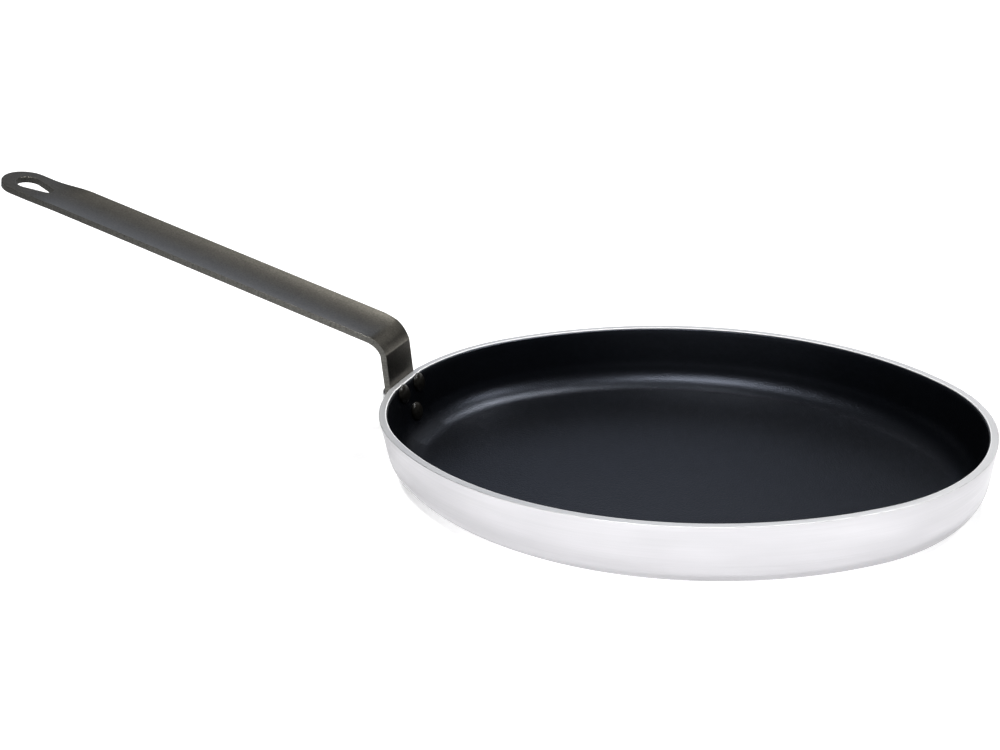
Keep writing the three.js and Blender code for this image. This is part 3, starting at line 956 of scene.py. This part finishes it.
class FISHPAN_OT_handle(bpy.types.Operator):
    """Build the bent strip handle"""

    bl_idname = "fishpan.handle"
    bl_label = "Handle"

    def execute(self, context):
        settings = context.scene.fish_pan
        path = StripPath(settings.pan, settings.handle, settings.rivets)
        mesh = bent_strip(settings.handle, path)
        mesh.materials.append(coated_steel(settings.handle.coat))
        mesh.materials.append(sheared_edge(settings.handle.edge, path.crease_end, path.tip))
        strip = new_object("strip_handle", mesh)
        strip.modifiers.new("flat_faces", "WEIGHTED_NORMAL").mode = "FACE_AREA"
        keep_mesh(strip)
        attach(strip, "root")
        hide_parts("handle")
        return {"FINISHED"}


class FISHPAN_OT_rivets(bpy.types.Operator):
    """Build the three rivets"""

    bl_idname = "fishpan.rivets"
    bl_label = "Rivets"

    def execute(self, context):
        settings = context.scene.fish_pan
        pan, handle, rivets = settings.pan, settings.handle, settings.rivets
        seat = Seat(pan)
        upper = pan.height - rivets.upper_drop
        lower = pan.height - rivets.lower_drop
        places = [
            seat.point(rivets.spread / 2, upper),
            seat.point(-rivets.spread / 2, upper),
            seat.point(0, lower),
        ]
        mesh = bpy.data.meshes.new("rivet_places")
        mesh.from_pydata(places, [], [])
        sizes = {
            "Head Radius": rivets.head_radius,
            "Head Dome": rivets.head_dome,
            "Head Base": pan.sheet + pan.lining_gap + pan.lining + rivets.skirt,
            "Outer Radius": rivets.outer_radius,
            "Outer Dome": rivets.outer_dome,
            "Outer Base": -(handle.thickness + handle.seat_gap + rivets.skirt),
            "Shank Radius": rivets.shank_radius,
            "Skirt": rivets.skirt,
            "Lean": pi / 2 - seat.draft,
        }
        metal = aluminium("rivet_aluminium", pan.rim_metal, *RIVET_FINISH)
        tree = rivet_tree(sizes, metal, coated_rivet(rivets.coat))
        group = run_tree(new_object("wall_rivets", mesh), tree, sizes)
        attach(group, "root")
        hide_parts("rivet_upper_left", "rivet_upper_right", "rivet_lower")
        return {"FINISHED"}


# Stage

def toward(azimuth, elevation):
    """A direction by its angle round from -Y towards +X and its angle above level."""
    flat = cos(elevation)
    return Vector((sin(azimuth) * flat, -cos(azimuth) * flat, sin(elevation)))


def soft_light(stage, name, azimuth, elevation, spread, share):
    """A wide, even light from far away. Its strength is a share of the stage's."""
    light = bpy.data.lights.new(name, "SUN")
    light.angle = radians(spread)
    light.energy = stage.light * share
    lamp = new_object(name, light)
    back = toward(radians(azimuth), radians(elevation))
    lamp.location = back
    lamp.rotation_mode = "QUATERNION"
    lamp.rotation_quaternion = (-back).to_track_quat("-Z", "Y")


def pale_surround(stage):
    """A pale studio all round: white near the floor, dim overhead, with soft glows on its backdrop."""
    world = bpy.data.worlds.new("pale_surround")
    world.use_nodes = True
    world.node_tree.nodes.clear()
    add = partial(add_node, world.node_tree)
    way = add("ShaderNodeTexCoord").outputs["Generated"]
    x, y, z = add("ShaderNodeSeparateXYZ", {0: way}).outputs
    ramp = add("ShaderNodeValToRGB", {0: z})
    steps = ramp.color_ramp.elements
    while len(steps) < len(SURROUND_LEVELS):
        steps.new(0.5)
    for step, (height, level) in zip(steps, SURROUND_LEVELS):
        step.position = height
        step.color = (level, level, level, 1)

    # The walls dim towards the front, where y is low, and to both sides of x = -0.1.
    front = add("ShaderNodeMapRange", {0: y, 1: -0.4, 2: 0.2, 3: FRONT_SHARE, 4: 1.0})
    across = add("ShaderNodeMath", {0: x, 1: 0.1}, operation="ADD")
    aside = add("ShaderNodeMath", {0: across}, operation="ABSOLUTE")
    side = add("ShaderNodeMapRange", {0: aside, 1: 0.3, 2: 0.7, 3: 1.0, 4: SIDE_SHARE})
    level = add("ShaderNodeMath", {0: front, 1: side}, operation="MULTIPLY")
    lit = add("ShaderNodeVectorMath", {0: ramp, "Scale": level}, operation="SCALE")
    for azimuth, elevation, spread, tint in BACKDROP_GLOWS:
        middle = toward(radians(azimuth), radians(elevation))
        rim, core = cos(radians(spread)), cos(radians(GLOW_CORE))
        near = add("ShaderNodeVectorMath", {0: way, 1: middle}, operation="DOT_PRODUCT")
        share = add(
            "ShaderNodeMapRange",
            {0: near.outputs["Value"], 1: rim, 2: core},
            interpolation_type="SMOOTHSTEP",
        )
        glow = add("ShaderNodeVectorMath", {0: tint, "Scale": share}, operation="SCALE")
        lit = add("ShaderNodeVectorMath", {0: lit, 1: glow}, operation="ADD")
    light = add("ShaderNodeBackground", {"Color": lit, "Strength": stage.sky})
    add("ShaderNodeOutputWorld", {"Surface": light})
    bpy.context.scene.world = world


def light_table(stage):
    """The floor's mesh: a matt white sheet, lit from below so that it shows pure white."""
    half = stage.floor_size / 2
    corners = [(-half, -half, 0), (half, -half, 0), (half, half, 0), (-half, half, 0)]
    mesh = bpy.data.meshes.new("floor")
    mesh.from_pydata(corners, [], [(0, 1, 2, 3)])
    material, add, place = new_material("white_light_table")
    away = add("ShaderNodeVectorMath", {0: place, 1: TABLE_MIDDLE}, operation="DISTANCE")
    bright, dim = TABLE_BRIGHT * stage.table, TABLE_DIM * stage.table
    glow = add(
        "ShaderNodeMapRange",
        {0: away.outputs["Value"], 1: TABLE_NEAR, 2: TABLE_FAR, 3: bright, 4: dim},
        interpolation_type="SMOOTHSTEP",
    )
    white = (*stage.floor, 1.0)
    matt = {"Base Color": white, "Roughness": 1.0, "Specular IOR Level": 0.0}
    lit = {"Emission Color": white, "Emission Strength": glow}
    sheet = add("ShaderNodeBsdfPrincipled", {**matt, **lit})
    add("ShaderNodeOutputMaterial", {"Surface": sheet})
    mesh.materials.append(material)
    return mesh


class FISHPAN_OT_stage(bpy.types.Operator):
    """Build the floor, the lights and the camera"""

    bl_idname = "fishpan.stage"
    bl_label = "Stage"

    def execute(self, context):
        stage = context.scene.fish_pan.stage
        mesh = light_table(stage)
        new_object("floor", mesh)
        pale_surround(stage)
        for soft in SOFT_LIGHTS:
            soft_light(stage, *soft)

        back = toward(stage.azimuth, stage.elevation)
        lens = bpy.data.cameras.new("camera")
        lens.lens = stage.lens
        lens.sensor_width = SENSOR_WIDTH
        lens.clip_start = CLIP_START
        lens.clip_end = CLIP_END
        camera = new_object("camera", lens)
        camera.location = Vector(stage.target) + back * stage.reach
        camera.rotation_mode = "QUATERNION"
        level = (-back).to_track_quat("-Z", "Y")
        camera.rotation_quaternion = level @ Quaternion((0, 0, 1), stage.roll)
        context.scene.camera = camera
        context.scene.view_settings.view_transform = "Standard"
        return {"FINISHED"}


# Panel and registration

class FISHPAN_PT_panel(bpy.types.Panel):
    """Lists the settings and the operators that build the pan"""

    bl_idname = "FISHPAN_PT_panel"
    bl_label = "Oval Fish Pan"
    bl_space_type = "VIEW_3D"
    bl_region_type = "UI"
    bl_category = "Fish Pan"

    def draw(self, context):
        settings = context.scene.fish_pan
        for group in (settings.pan, settings.handle, settings.rivets, settings.stage):
            box = self.layout.box()
            for name in group.__annotations__:
                box.prop(group, name)
        for operator in OPERATORS:
            self.layout.operator(operator.bl_idname)


OPERATORS = (
    FISHPAN_OT_shell,
    FISHPAN_OT_lining,
    FISHPAN_OT_handle,
    FISHPAN_OT_rivets,
    FISHPAN_OT_stage,
)
CLASSES = (
    PanSettings,
    HandleSettings,
    RivetSettings,
    StageSettings,
    FishPanSettings,
    *OPERATORS,
    FISHPAN_PT_panel,
)


def register():
    for item in CLASSES:
        bpy.utils.register_class(item)
    bpy.types.Scene.fish_pan = settings_group("Fish pan", "All settings of the pan", FishPanSettings)


def unregister():
    del bpy.types.Scene.fish_pan
    for item in reversed(CLASSES):
        bpy.utils.unregister_class(item)


def main():
    register()
    bpy.ops.fishpan.stage()
    bpy.ops.fishpan.shell()
    bpy.ops.fishpan.lining()
    bpy.ops.fishpan.handle()
    bpy.ops.fishpan.rivets()


if __name__ == "__main__":
    main()
